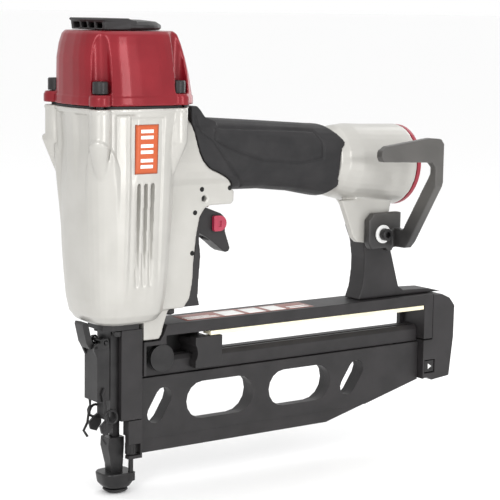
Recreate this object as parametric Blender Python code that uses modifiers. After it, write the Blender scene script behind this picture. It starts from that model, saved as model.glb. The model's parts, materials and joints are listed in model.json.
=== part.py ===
"""Pneumatic straight-magazine finish nailer, modelled in metres with +Z up the drive axis.

The origin is the centre of the nose contact face. +X runs to the rear, along the
magazine, and -Y is the side that carries the belt hook. Sizes below are in mm.
"""

import math

import bmesh
import bpy
from mathutils import Matrix, Vector

MM = 0.001
GAP = 0.35

# Overall layout
BODY_TOP = 237.0
BODY_BOTTOM = 107.0
CAP_BOTTOM = 238.6
CAP_TOP = 281.8
TOP = 289.0
BOLT_AT = 26.5
WEB_HALF = 13.6
BORE_R = 24.5
LOWER_BORE_R = 21.4

# Handle and rear bell
BELL_X = 211.6
BELL_Z = 193.7
BELL_TILT = math.radians(4.5)

# Magazine
BEAM_HALF = 13.0
BEAM_TOP = 103.4
RAIL_BOTTOM = 96.3


def clear_scene():
    for obj in list(bpy.data.objects):
        bpy.data.objects.remove(obj)


clear_scene()
PARTS = bpy.data.collections.new("finish_nailer")
CUTTERS = bpy.data.collections.new("cutters")
bpy.context.scene.collection.children.link(PARTS)
bpy.context.scene.collection.children.link(CUTTERS)

FINISHES = {
    "silver": ((0.78, 0.78, 0.75), 0.4, 0.35),
    "red": ((0.42, 0.02, 0.03), 0.2, 0.3),
    "black": ((0.05, 0.05, 0.052), 0.0, 0.5),
    "rubber": ((0.03, 0.03, 0.032), 0.0, 0.8),
    "steel": ((0.45, 0.45, 0.46), 1.0, 0.3),
    "dark_steel": ((0.12, 0.12, 0.12), 1.0, 0.4),
    "cream": ((0.85, 0.8, 0.6), 0.0, 0.4),
    "white": ((0.85, 0.85, 0.85), 0.0, 0.4),
    "grey": ((0.22, 0.22, 0.21), 0.0, 0.5),
    "brass": ((0.7, 0.55, 0.25), 1.0, 0.3),
}


def paint(obj, finish):
    """Gives the object its own material in the named finish."""
    color, metallic, roughness = FINISHES[finish]
    material = bpy.data.materials.new(obj.name + "_" + finish)
    material.use_nodes = True
    shader = material.node_tree.nodes["Principled BSDF"]
    shader.inputs["Base Color"].default_value = (*color, 1.0)
    shader.inputs["Metallic"].default_value = metallic
    shader.inputs["Roughness"].default_value = roughness
    obj.data.materials.clear()
    obj.data.materials.append(material)
    return obj


def smooth(obj, angle=35):
    obj.data.shade_smooth()
    obj.data.set_sharp_from_angle(angle=math.radians(angle))
    return obj


def add_mesh(name, mesh):
    obj = bpy.data.objects.new(name, mesh)
    PARTS.objects.link(obj)
    return obj


def helper(obj):
    """Turns an object into a hidden Boolean tool."""
    PARTS.objects.unlink(obj)
    CUTTERS.objects.link(obj)
    obj.hide_render = True
    obj.display_type = "WIRE"
    return obj


def boolean(obj, tool, operation):
    if tool.name in PARTS.objects:
        helper(tool)
    modifier = obj.modifiers.new(operation.lower() + "_" + tool.name, "BOOLEAN")
    modifier.operation = operation
    modifier.object = tool
    modifier.solver = "EXACT"
    return obj


def cut(obj, *tools):
    for tool in tools:
        boolean(obj, tool, "DIFFERENCE")
    return obj


def join(obj, *tools):
    for tool in tools:
        boolean(obj, tool, "UNION")
    return obj


def from_bmesh(name, bm):
    bmesh.ops.recalc_face_normals(bm, faces=bm.faces)
    mesh = bpy.data.meshes.new(name)
    bm.to_mesh(mesh)
    bm.free()
    return add_mesh(name, mesh)


def box(name, x, y, z):
    """A block between the given (low, high) pairs, in mm."""
    bm = bmesh.new()
    bmesh.ops.create_cube(bm, size=1.0)
    for vertex in bm.verts:
        vertex.co.x = (x[0] if vertex.co.x < 0 else x[1]) * MM
        vertex.co.y = (y[0] if vertex.co.y < 0 else y[1]) * MM
        vertex.co.z = (z[0] if vertex.co.z < 0 else z[1]) * MM
    return from_bmesh(name, bm)


def aim(direction):
    return Vector(direction).to_track_quat("Z", "Y").to_matrix().to_4x4()


def rod(name, start, end, radius, sides=24, end_radius=None):
    """A cylinder or cone from start to end, in mm."""
    first, last = Vector(start), Vector(end)
    bm = bmesh.new()
    bmesh.ops.create_cone(
        bm,
        cap_ends=True,
        segments=sides,
        radius1=radius * MM,
        radius2=(radius if end_radius is None else end_radius) * MM,
        depth=(last - first).length * MM,
        matrix=Matrix.Translation((first + last) * 0.5 * MM) @ aim(last - first),
    )
    return from_bmesh(name, bm)


def spun(name, points, closed, origin, axis, steps):
    """Revolves a (radius, height) profile, in mm, that runs down its outer side."""
    mesh = bpy.data.meshes.new(name)
    edges = [(i, i + 1) for i in range(len(points) - 1)]
    if closed:
        edges.append((len(points) - 1, 0))
    mesh.from_pydata([(r * MM, 0, h * MM) for r, h in points], edges, [])
    obj = add_mesh(name, mesh)
    obj.matrix_world = Matrix.Translation(Vector(origin) * MM) @ aim(axis)
    screw = obj.modifiers.new("turn", "SCREW")
    screw.steps = steps
    screw.render_steps = steps
    screw.use_merge_vertices = True
    screw.merge_threshold = 0.00001
    return obj


def turned(name, profile, origin=(0, 0, 0), axis=(0, 0, 1), steps=32):
    """A solid of revolution. The profile is listed from its low end to its high end."""
    points = [(0.0, profile[-1][1]), *reversed(profile), (0.0, profile[0][1])]
    return spun(name, points, False, origin, axis, steps)


def tube_ring(name, inner, outer, low, high, origin=(0, 0, 0), axis=(0, 0, 1), steps=32):
    """A plain ring about an axis."""
    points = [(outer, high), (outer, low), (inner, low), (inner, high)]
    return spun(name, points, True, origin, axis, steps)


def bridge(bm, first, second):
    count = len(first)
    for i in range(count):
        j = (i + 1) % count
        bm.faces.new((first[i], first[j], second[j], second[i]))


def loft(name, rings):
    """A closed solid through rings of mm points, all with the same number of points."""
    bm = bmesh.new()
    made = [[bm.verts.new(Vector(point) * MM) for point in ring] for ring in rings]
    for first, second in zip(made, made[1:]):
        bridge(bm, first, second)
    bm.faces.new(made[0])
    bm.faces.new(made[-1])
    return from_bmesh(name, bm)


def super_ellipse(half_u, half_v, power, count):
    """Points of a rounded square, as (u, v) pairs."""
    points = []
    for step in range(count):
        angle = 2 * math.pi * (step + 0.5) / count
        c, s = math.cos(angle), math.sin(angle)
        u = math.copysign(abs(c) ** (2 / power), c) * half_u
        v = math.copysign(abs(s) ** (2 / power), s) * half_v
        points.append((u, v))
    return points


def prism(name, outline, low, high, plane="XZ", holes=()):
    """Extrudes a flat outline with holes between low and high on the third axis."""
    curve = bpy.data.curves.new(name, "CURVE")
    curve.dimensions = "2D"
    curve.fill_mode = "BOTH"
    curve.extrude = (high - low) / 2 * MM
    for loop in (outline, *holes):
        spline = curve.splines.new("POLY")
        spline.points.add(len(loop) - 1)
        for point, (u, v) in zip(spline.points, loop):
            point.co = (u * MM, v * MM, 0, 1)
        spline.use_cyclic_u = True
    obj = bpy.data.objects.new(name, curve)
    bpy.context.scene.collection.objects.link(obj)
    middle = (low + high) / 2 * MM
    if plane == "XZ":
        place = Matrix(((1, 0, 0, 0), (0, 0, -1, middle), (0, 1, 0, 0), (0, 0, 0, 1)))
    elif plane == "YZ":
        place = Matrix(((0, 0, 1, middle), (1, 0, 0, 0), (0, 1, 0, 0), (0, 0, 0, 1)))
    else:
        place = Matrix.Translation((0, 0, middle))
    return solid_of_curve(obj, place)


def solid_of_curve(obj, place):
    """Replaces a curve object by the closed mesh that it draws."""
    name = obj.name
    bpy.context.view_layer.update()
    graph = bpy.context.evaluated_depsgraph_get()
    mesh = bpy.data.meshes.new_from_object(obj.evaluated_get(graph))
    bpy.data.objects.remove(obj)
    bm = bmesh.new()
    bm.from_mesh(mesh)
    bpy.data.meshes.remove(mesh)
    bmesh.ops.remove_doubles(bm, verts=bm.verts, dist=1e-6)
    bm.transform(place)
    return from_bmesh(name, bm)


def wire(name, points, radius, sides=2):
    """A round wire with closed ends through mm points."""
    curve = bpy.data.curves.new(name, "CURVE")
    curve.dimensions = "3D"
    curve.bevel_depth = radius * MM
    curve.bevel_resolution = sides
    curve.use_fill_caps = True
    spline = curve.splines.new("POLY")
    spline.points.add(len(points) - 1)
    for point, place in zip(spline.points, points):
        point.co = (*(value * MM for value in place), 1)
    obj = bpy.data.objects.new(name, curve)
    bpy.context.scene.collection.objects.link(obj)
    return solid_of_curve(obj, Matrix.Identity(4))


def arc(centre, radius, start, end, steps):
    """Points on an arc, in degrees from +u towards +v."""
    points = []
    for step in range(steps + 1):
        angle = math.radians(start + (end - start) * step / steps)
        points.append(
            (centre[0] + radius * math.cos(angle), centre[1] + radius * math.sin(angle))
        )
    return points


def slot_outline(first, second, radius, steps=8):
    """The outline of a slot with round ends between two centres."""
    turn = math.degrees(math.atan2(second[1] - first[1], second[0] - first[0]))
    return arc(second, radius, turn - 90, turn + 90, steps) + arc(
        first, radius, turn + 90, turn + 270, steps
    )


def helix(radius, low, high, turns, steps=12):
    points = []
    for step in range(turns * steps + 1):
        angle = 2 * math.pi * step / steps
        height = low + (high - low) * step / (turns * steps)
        points.append((radius * math.cos(angle), radius * math.sin(angle), height))
    return points


def finish(obj, look, angle=35):
    paint(obj, look)
    return smooth(obj, angle)


# ---------------------------------------------------------------- silver body casting

def level_ring(z, centre_x, half_x, half_y, power=3.0, count=40):
    return [
        (centre_x + u, v, z) for u, v in super_ellipse(half_x, half_y, power, count)
    ]


def handle_ring(x, centre_z, half_z, half_y, bulge=0.0, count=28):
    """A section across the handle. A bulging one is bowed to the rear at mid height."""
    ring = []
    for u, v in super_ellipse(half_y, half_z, 2.4, count):
        ring.append((x - bulge * v * v, u, centre_z + v))
    return ring


BARREL = (
    (107.0, 0.5, 19.4, 19.4),
    (108.8, 0.3, 22.8, 22.8),
    (113.0, 0.1, 25.6, 25.6),
    (122.0, 0.0, 27.3, 27.3),
    (135.0, 0.0, 28.4, 28.4),
    (150.0, 0.0, 29.4, 29.4),
    (208.0, 0.5, 32.0, 32.0),
    (222.0, 1.5, 33.4, 32.3),
    (BODY_TOP, 4.5, 37.5, 32.6),
)
main_body = loft("main_body", [level_ring(*section) for section in BARREL])

for side_x in (-1, 1):
    for side_y in (-1, 1):
        boss = rod(
            f"flange_boss_{side_x}_{side_y}",
            (side_x * BOLT_AT, side_y * BOLT_AT, 216.0),
            (side_x * BOLT_AT, side_y * BOLT_AT, BODY_TOP),
            6.3,
            20,
        )
        taper = rod(
            f"boss_taper_{side_x}_{side_y}",
            (side_x * 21.6, side_y * 21.6, 192.0),
            (side_x * BOLT_AT, side_y * BOLT_AT, 217.0),
            3.0,
            20,
            6.2,
        )
        join(main_body, boss, taper)

GRIP_EDGE = (
    (44.8, 245.0),
    (45.3, 229.5),
    (46.2, 221.0),
    (46.9, 215.0),
    (48.5, 208.8),
    (51.6, 202.8),
    (56.8, 198.2),
    (64.2, 195.0),
    (70.8, 191.8),
    (75.0, 188.4),
    (77.2, 185.0),
    (78.2, 180.0),
    (78.2, 150.0),
)
SILVER_ZONE = ((-10.0, 150.0), (-10.0, 245.0), *GRIP_EDGE)
GRIP_ZONE = tuple((x + GAP, z + GAP) for x, z in GRIP_EDGE[:-1]) + (
    (78.2 + GAP, 150.0),
    (-12.0, 150.0),
    (-12.0, 245.4),
)
neck = loft(
    "neck",
    [
        handle_ring(12.0, 207.0, 25.0, 19.0),
        handle_ring(46.0, 206.6, 24.2, 18.3),
        handle_ring(84.0, 204.6, 22.4, 18.0),
    ],
)
boolean(neck, prism("silver_zone", SILVER_ZONE, -40.0, 40.0), "INTERSECT")
core = loft(
    "handle_core",
    [
        handle_ring(30.0, 205.2, 17.0, 15.0),
        handle_ring(100.0, 204.0, 16.5, 14.5),
        handle_ring(163.0, 198.6, 17.5, 15.5),
    ],
)
BELL_AXIS = (math.cos(BELL_TILT), 0.0, -math.sin(BELL_TILT))
BELL_AT = (BELL_X, 0.0, BELL_Z)
bell = turned(
    "bell",
    (
        (16.0, -56.0),
        (20.5, -54.5),
        (23.4, -49.5),
        (25.2, -39.0),
        (25.6, -25.0),
        (26.6, -6.0),
        (27.1, 3.0),
        (26.9, 4.6),
    ),
    BELL_AT,
    BELL_AXIS,
    36,
)
web = prism(
    "web",
    (
        (8.0, 112.6),
        (41.0, 112.6),
        (45.2, 118.0),
        (47.3, 128.0),
        (48.0, 141.0),
        (50.0, 158.0),
        (52.3, 168.5),
        (56.0, 173.6),
        (60.0, 175.2),
        (75.6, 175.2),
        (77.4, 177.0),
        (77.6, 183.0),
        (74.0, 187.6),
        (57.0, 196.0),
        (45.0, 210.0),
        (8.0, 222.0),
    ),
    -WEB_HALF,
    WEB_HALF,
)
leg = prism(
    "leg",
    ((13.2, 94.3), (24.0, 94.3), (26.0, 97.5), (28.5, 106.0), (31.5, 114.0), (10.0, 114.0), (12.9, 106.0)),
    -12.0,
    12.0,
)
lug = prism(
    "lug",
    arc((196.2, 147.0), 6.0, 180, 270, 4)
    + arc((197.4, 147.0), 6.0, 270, 360, 4)
    + [(204.6, 160.0), (207.0, 173.0), (176.0, 173.0), (183.0, 165.4), (190.2, 160.6)],
    -12.6,
    12.6,
)
join(main_body, neck, core, bell, web, leg, lug)
LUG_CHEEK = (
    (164.0, 172.5),
    (169.0, 160.6),
    (174.6, 147.0),
    (178.2, 143.8),
    (192.0, 142.4),
    (192.0, 172.5),
)
join(main_body, prism("lug_cheek", LUG_CHEEK, -12.6, -7.9))

bore = rod("cylinder_bore", (0, 0, 152.0), (0, 0, 240.0), BORE_R, 40)
lower_bore = rod("lower_bore", (0, 0, 116.0), (0, 0, 153.0), LOWER_BORE_R, 40)
drive_hole = rod("drive_hole", (0, 0, 100.0), (0, 0, 117.0), 8.0, 24)
air_way = rod("air_way", (20.0, 0, 206.6), (185.0, 0, 196.2), 10.0, 24)
inlet_at = Vector(BELL_AT) + Vector(BELL_AXIS) * -32.0
inlet_end = Vector(BELL_AT) + Vector(BELL_AXIS) * 10.0
inlet_bore = rod("inlet_bore", tuple(inlet_at), tuple(inlet_end), 17.0, 36)
valve_bore = rod("valve_bore", (66.0, 0, 176.0), (66.0, 0, 200.0), 5.6, 24)
trigger_slot = box("trigger_slot", (52.6, 75.5), (-6.9, 6.9), (160.0, 189.3))
pivot_hole = rod("pivot_hole", (55.4, -16.0, 179.5), (55.4, 16.0, 179.5), 1.9, 16)
hook_hole = rod("hook_hole", (194.5, -14.0, 149.1), (194.5, 2.0, 149.1), 3.2, 20)
cut(
    main_body,
    bore,
    lower_bore,
    drive_hole,
    air_way,
    inlet_bore,
    trigger_slot,
    valve_bore,
    pivot_hole,
    hook_hole,
)
for side_x in (-1, 1):
    for side_y in (-1, 1):
        thread = rod(
            f"thread_{side_x}_{side_y}",
            (side_x * BOLT_AT, side_y * BOLT_AT, 219.0),
            (side_x * BOLT_AT, side_y * BOLT_AT, 240.0),
            2.8,
            12,
        )
        cut(main_body, thread)
for index, vent_x in enumerate((-2.2, 2.6, 7.4)):
    vent = prism(
        f"vent_{index}",
        slot_outline((vent_x, 132.0), (vent_x, 192.0), 1.3, 4),
        -40.0,
        -27.3,
    )
    cut(main_body, vent)
finish(main_body, "silver")

# ---------------------------------------------------------------- power head

HEAD = (
    (CAP_BOTTOM, 5.5, 38.6, 32.8),
    (245.0, 5.5, 38.4, 32.6),
    (256.0, 4.4, 37.4, 32.2),
    (266.0, 3.1, 36.1, 31.2),
    (274.0, 2.4, 34.3, 29.8),
    (279.8, 2.1, 32.3, 28.2),
    (CAP_TOP, 1.8, 30.2, 26.2),
)
cylinder_cap = loft("cylinder_cap", [level_ring(*section) for section in HEAD])
for side_x in (-1, 1):
    for side_y in (-1, 1):
        ear = rod(
            f"cap_ear_{side_x}_{side_y}",
            (side_x * BOLT_AT, side_y * BOLT_AT, CAP_BOTTOM),
            (side_x * BOLT_AT, side_y * BOLT_AT, 245.4),
            6.5,
            20,
        )
        join(cylinder_cap, ear)
for side_x in (-1, 1):
    for side_y in (-1, 1):
        place = (side_x * BOLT_AT, side_y * BOLT_AT)
        flute = rod(
            f"flute_{side_x}_{side_y}",
            (*place, 245.4),
            (side_x * 27.5, side_y * 26.5, 284.0),
            6.6,
            20,
            6.0,
        )
        bolt_hole = rod(f"cap_hole_{side_x}_{side_y}", (*place, 236.0), (*place, 250.0), 2.8, 12)
        cut(cylinder_cap, flute, bolt_hole)
valve_room = rod("valve_room", (0, 0, 236.0), (0, 0, 259.0), 24.0, 40)
cut(cylinder_cap, valve_room)
for index in range(4):
    angle = math.pi / 4 + math.pi / 2 * index
    at_x, at_y = 13.0 * math.cos(angle), 13.0 * math.sin(angle)
    port = rod(f"exhaust_port_{index}", (at_x, at_y, 256.0), (at_x, at_y, 284.0), 4.0, 16)
    cut(cylinder_cap, port)
cut(cylinder_cap, rod("deflector_thread", (0, 0, 270.0), (0, 0, 284.0), 2.8, 16))
finish(cylinder_cap, "red")

gasket = loft("head_gasket", [level_ring(z, 4.6, 37.4, 32.5) for z in (237.35, 238.25)])
cut(gasket, rod("gasket_bore", (0, 0, 236.0), (0, 0, 240.0), BORE_R + 0.5, 40))
for side_x in (-1, 1):
    for side_y in (-1, 1):
        place = (side_x * BOLT_AT, side_y * BOLT_AT)
        cut(gasket, rod(f"gasket_relief_{side_x}_{side_y}", (*place, 236.0), (*place, 240.0), 4.2, 12))
finish(gasket, "black")

for index, (side_x, side_y) in enumerate(((-1, -1), (1, -1), (1, 1), (-1, 1)), 1):
    place = (side_x * BOLT_AT, side_y * BOLT_AT)
    bolt = turned(
        f"cap_bolt_{index}",
        ((2.4, 221.0), (2.4, 245.8), (4.6, 245.8), (4.6, 252.4), (4.1, 253.0)),
        (*place, 0.0),
        steps=16,
    )
    cut(bolt, rod(f"bolt_socket_{index}", (*place, 249.4), (*place, 255.0), 2.3, 6))
    finish(bolt, "dark_steel")

deflector = turned(
    "exhaust_deflector",
    ((20.6, 282.2), (22.0, 283.4), (21.8, 285.2), (18.6, 287.2), (9.0, 288.2)),
    (5.4, 0, 0),
    steps=32,
)
hood = loft(
    "hood",
    [
        [(-19.6, -19.4, 282.2), (-19.6, 19.4, 282.2), (4.0, 20.4, 282.2), (4.0, -20.4, 282.2)],
        [(-20.0, -19.8, 287.6), (-20.0, 19.8, 287.6), (2.0, 20.0, 287.6), (2.0, -20.0, 287.6)],
        [(-20.9, -20.4, 287.7), (-20.9, 20.4, 287.7), (0.0, 19.6, 287.7), (0.0, -19.6, 287.7)],
        [(-20.6, -20.0, TOP), (-20.6, 20.0, TOP), (-3.0, 19.0, TOP), (-3.0, -19.0, TOP)],
    ],
)
join(deflector, hood)
cut(
    deflector,
    tube_ring("exhaust_channel", 7.5, 18.0, 280.0, 285.2),
    box("exhaust_mouth_1", (-30.0, -12.0), (-16.8, -9.4), (283.3, 286.6)),
    box("exhaust_mouth_2", (-30.0, -12.0), (-7.6, -0.9), (283.3, 286.6)),
    box("exhaust_mouth_3", (-30.0, -12.0), (0.9, 7.6), (283.3, 286.6)),
    box("exhaust_mouth_4", (-30.0, -12.0), (9.4, 16.8), (283.3, 286.6)),
    box("exhaust_room", (-17.6, -5.0), (-16.8, 16.8), (281.0, 286.0)),
    rod("deflector_bore", (0, 0, 280.0), (0, 0, 292.0), 2.8, 16),
    rod("deflector_seat", (0, 0, 286.0), (0, 0, 292.0), 5.4, 20),
)
finish(deflector, "black")
deflector_screw = turned(
    "deflector_screw",
    ((2.4, 272.0), (2.4, 286.4), (4.9, 286.4), (4.9, 288.2), (4.2, 288.8)),
    steps=20,
)
cut(deflector_screw, rod("deflector_socket", (0, 0, 287.0), (0, 0, 291.0), 2.2, 6))
finish(deflector_screw, "dark_steel")

# ---------------------------------------------------------------- driving parts

sleeve = tube_ring("cylinder_sleeve", 19.5, 20.9, 123.0, 232.0, steps=40)
join(sleeve, tube_ring("sleeve_flange", 20.2, 24.1, 196.0, 202.0, steps=40))
finish(sleeve, "steel")
bush = turned(
    "drive_guide_bush",
    ((7.6, 107.6), (7.6, 116.35), (12.0, 116.35), (12.0, 117.8)),
    steps=24,
)
finish(bush, "brass")
cut(bpy.data.objects["drive_guide_bush"], box("blade_slot", (-2.2, 2.2), (-1.4, 1.4), (100.0, 120.0)))
finish(tube_ring("bumper", 6.0, 18.6, 118.2, 133.0, steps=32), "rubber")
piston = turned(
    "piston",
    (
        (12.0, 217.0),
        (19.1, 218.0),
        (19.1, 222.4),
        (17.2, 222.4),
        (17.2, 225.6),
        (19.1, 225.6),
        (19.1, 229.5),
        (10.0, 230.2),
    ),
    steps=40,
)
finish(piston, "steel")
finish(tube_ring("piston_ring", 17.55, 19.25, 222.75, 225.25, steps=40), "rubber")
finish(box("driver_blade", (-1.0, 1.0), (-0.7, 0.7), (95.5, 216.65)), "steel")
head_valve = tube_ring("head_valve", 12.0, 23.4, 232.4, 244.0, steps=40)
join(head_valve, tube_ring("valve_skirt", 12.0, 16.0, 243.0, 252.0, steps=40))
finish(head_valve, "black")
finish(wire("head_valve_spring", helix(19.8, 245.4, 256.9, 3, 14), 0.9), "steel")

# ---------------------------------------------------------------- handle and air inlet

def grip_end_ring(base_x, centre_z, half_z, half_y):
    return handle_ring(base_x, centre_z, half_z, half_y, bulge=0.028)


grip = loft(
    "grip_sleeve",
    [
        handle_ring(40.0, 207.2, 22.6, 18.6),
        handle_ring(62.0, 206.0, 22.8, 18.8),
        handle_ring(102.0, 204.2, 21.8, 18.4),
        handle_ring(126.0, 202.0, 22.2, 18.6),
        grip_end_ring(160.0, 199.4, 23.4, 20.4),
        grip_end_ring(165.5, 199.0, 23.6, 20.8),
    ],
)
join(
    grip,
    prism(
        "grip_lip",
        (
            (43.0, 222.0),
            (43.0, 236.5),
            (50.0, 236.5),
            (52.6, 234.0),
            (56.0, 229.6),
            (64.0, 227.0),
            (64.0, 222.0),
        ),
        -13.0,
        13.0,
    ),
)
cut(grip, prism("grip_zone", GRIP_ZONE, -40.0, 40.0))
cut(
    grip,
    loft(
        "grip_bore",
        [
            handle_ring(28.0, 205.2, 17.5, 15.5),
            handle_ring(100.0, 204.0, 17.0, 15.0),
            handle_ring(175.0, 197.6, 18.4, 16.4),
        ],
    ),
    turned(
        "bell_relief",
        ((16.0, -56.4), (20.9, -54.9), (23.8, -49.8), (25.6, -39.2), (26.0, -25.0)),
        BELL_AT,
        BELL_AXIS,
        36,
    ),
)
finish(grip, "rubber")

ring = tube_ring("end_ring", 16.6, 26.9, 5.0, 8.0, BELL_AT, BELL_AXIS, 36)
finish(ring, "red")
plug = turned(
    "inlet_bush",
    ((16.4, -18.0), (16.6, 3.0), (16.2, 3.0), (16.2, 8.0), (13.5, 9.2), (11.0, 9.2)),
    BELL_AT,
    BELL_AXIS,
    32,
)
inlet_low = Vector(BELL_AT) + Vector(BELL_AXIS) * -20.0
inlet_high = Vector(BELL_AT) + Vector(BELL_AXIS) * 12.0
cut(plug, rod("inlet_port", tuple(inlet_low), tuple(inlet_high), 6.6, 24))
finish(plug, "dark_steel")
finish(tube_ring("inlet_filter", 8.0, 14.0, -30.5, -19.0, BELL_AT, BELL_AXIS, 24), "brass")

# ---------------------------------------------------------------- trigger group

finish(
    tube_ring("trigger_valve_housing", 1.9, 5.2, 178.0, 197.0, (66.0, 0, 0), steps=24),
    "black",
)
stem = turned("trigger_valve_stem", ((1.0, 172.3), (1.5, 173.0), (1.5, 190.0)), (66.0, 0, 0), steps=16)
finish(stem, "brass")
trigger = prism(
    "trigger",
    (
        (53.2, 176.0),
        (53.2, 181.0),
        (55.4, 182.6),
        (57.8, 181.0),
        (59.2, 173.9),
        (73.0, 168.6),
        (75.8, 166.0),
        (76.6, 161.5),
        (76.2, 157.0),
        (78.4, 151.0),
        (80.0, 146.4),
        (79.0, 144.2),
        (76.6, 143.8),
        (73.6, 145.6),
        (68.6, 149.8),
        (63.6, 153.4),
        (58.6, 156.2),
        (55.2, 158.6),
        (54.2, 166.0),
    ),
    -6.3,
    6.3,
    holes=(arc((55.4, 179.5), 1.9, 360, 36, 9), arc((70.6, 162.6), 2.4, 360, 30, 11)),
)
cut(trigger, box("trigger_hollow", (61.5, 66.0), (-4.2, 4.2), (150.0, 163.0)))
finish(trigger, "black")
pin = rod("trigger_pin", (55.4, -10.9, 179.5), (55.4, 10.9, 179.5), 1.55, 16)
finish(pin, "steel")
selector = prism(
    "mode_selector",
    arc((70.4, 162.8), 4.9, -90, 90, 10) + [(66.6, 167.7), (65.9, 166.8), (65.9, 158.8), (66.6, 157.9)],
    -9.2,
    -6.65,
)
join(selector, rod("selector_shaft", (70.6, -7.0, 162.6), (70.6, 6.0, 162.6), 2.05, 16))
cut(selector, box("selector_notch", (69.4, 71.4), (-10.0, -8.4), (160.6, 164.4)))
finish(selector, "red")
cover = prism(
    "arm_cover",
    (
        (42.0, 112.6),
        (51.8, 112.6),
        (50.4, 118.0),
        (50.9, 128.0),
        (51.9, 141.0),
        (53.6, 157.6),
        (53.0, 166.4),
        (52.3, 166.4),
        (50.6, 158.0),
        (48.5, 141.0),
        (47.8, 128.0),
        (45.6, 117.8),
    ),
    -11.4,
    11.4,
)
finish(cover, "black")
screw = turned(
    "cover_screw",
    ((2.0, 107.6), (3.6, 108.4), (3.6, 111.4), (1.6, 112.2)),
    (36.0, -4.0, 0),
    steps=16,
)
finish(screw, "dark_steel")

# ---------------------------------------------------------------- nose

guide = prism(
    "driver_guide",
    ((-8.0, -8.0), (8.9, -8.0), (8.9, 8.0), (-8.0, 8.0)),
    46.0,
    106.6,
    plane="XY",
)
join(
    guide,
    prism(
        "guide_flange",
        ((-14.0, -9.0), (-9.0, -13.0), (8.9, -13.0), (8.9, 13.0), (-9.0, 13.0), (-14.0, 9.0)),
        102.6,
        106.6,
        plane="XY",
    ),
    box("guide_tip", (-2.7, 2.0), (-2.2, 2.2), (12.4, 48.0)),
    prism(
        "guide_ear",
        ((-10.8, 47.0), (-14.6, 43.5), (-13.4, 39.0), (-9.4, 37.6), (-6.0, 42.0), (-6.0, 50.0)),
        -7.6,
        7.6,
    ),
)
cut(
    guide,
    box("nail_channel", (-1.3, 1.3), (-1.0, 1.0), (10.0, 97.5)),
    box("blade_channel", (-1.9, 1.9), (-1.1, 1.1), (46.5, 110.0)),
    box("feed_slot", (0.5, 9.5), (-1.1, 1.1), (30.0, 97.0)),
    box("ear_gap", (-16.0, -8.4), (-5.9, 5.9), (36.0, 52.0)),
    box("sleeve_room", (-9.0, -3.0), (-5.9, 5.9), (36.0, 45.9)),
    rod("rod_way_guide", (7.0, -7.6, 44.0), (7.0, -7.6, 60.0), 2.0, 14),
)
finish(guide, "dark_steel")
for label, x_at, y_at in (("near", -5.6, -11.1), ("far", -5.6, 11.1)):
    screw = turned(
        f"guide_bolt_{label}",
        ((2.2, 98.9), (2.6, 99.4), (2.6, 102.25)),
        (x_at, y_at, 0),
        steps=12,
    )
    finish(screw, "steel")

plate = prism(
    "nose_plate",
    (
        (-2.6, -12.0),
        (12.4, -12.0),
        (12.4, 12.0),
        (-2.6, 12.0),
        (-2.6, 8.4),
        (9.3, 8.4),
        (9.3, -8.4),
        (-2.6, -8.4),
    ),
    46.0,
    102.2,
    plane="XY",
)
cut(
    plate,
    box("plate_slot", (8.0, 14.0), (-1.2, 1.2), (48.5, 97.0)),
    rod("rod_way_plate", (7.0, -7.6, 44.0), (7.0, -7.6, 60.0), 2.0, 14),
)
finish(plate, "black")

door = prism(
    "nose_door",
    (
        (-17.0, -7.7),
        (-8.4, -7.7),
        (-8.4, -5.6),
        (-14.4, -5.6),
        (-14.4, 5.6),
        (-8.4, 5.6),
        (-8.4, 7.7),
        (-17.0, 7.7),
    ),
    59.0,
    91.0,
    plane="XY",
)
DOOR_CHEEK = (
    (-16.8, 86.0),
    (-8.6, 88.0),
    (-8.6, 95.0),
    (-9.6, 97.6),
    (-12.2, 97.6),
    (-14.0, 95.2),
    (-18.6, 94.6),
    (-19.6, 93.0),
    (-19.0, 90.4),
)
join(
    door,
    prism("door_cheek_near", DOOR_CHEEK, -7.6, -5.7),
    prism("door_cheek_far", DOOR_CHEEK, 5.7, 7.6),
)
cut(
    door,
    rod("door_pin_hole", (-10.9, -9.0, 95.0), (-10.9, 9.0, 95.0), 1.55, 12),
    rod("latch_pin_hole", (-17.6, -9.0, 92.6), (-17.6, 9.0, 92.6), 0.85, 10),
)
finish(door, "black")
finish(rod("door_pin", (-10.9, -8.3, 95.0), (-10.9, 8.3, 95.0), 1.2, 12), "steel")

LATCH_X = -17.6
LATCH_Z = 92.6
lever = prism(
    "latch_lever",
    arc((LATCH_X, LATCH_Z), 1.5, -90, 70, 6)
    + [
        (-18.6, 95.2),
        (-19.4, 97.4),
        (-21.8, 107.6),
        (-25.0, 108.2),
        (-25.6, 106.6),
        (-23.0, 95.6),
        (-20.8, 91.7),
    ],
    -5.0,
    5.0,
)
cut(lever, rod("latch_bore", (LATCH_X, -8.0, LATCH_Z), (LATCH_X, 8.0, LATCH_Z), 0.85, 10))
finish(lever, "black")
finish(rod("latch_pin", (LATCH_X, -7.6, LATCH_Z), (LATCH_X, 7.6, LATCH_Z), 0.5, 10), "steel")

for label, side in (("near", -1), ("far", 1)):
    at_y = side * 9.2
    path = [(-12.4, at_y, 67.6), (-14.0, at_y, 64.0), (-12.2, at_y, 56.0)]
    for step in range(15):
        angle = math.radians(200.0 - 30.0 * step)
        drift = at_y + side * 0.17 * step
        path.append((-8.4 + 3.9 * math.cos(angle), drift, 49.4 + 3.9 * math.sin(angle)))
    path += [
        (-12.6, at_y + side * 2.4, 42.0),
        (-15.6, at_y + side * 1.9, 37.4),
        (-13.0, at_y + side * 1.7, 33.4),
    ]
    finish(wire(f"wire_spring_{label}", path, 0.85), "steel")

# ---------------------------------------------------------------- contact arm and foot

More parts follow.
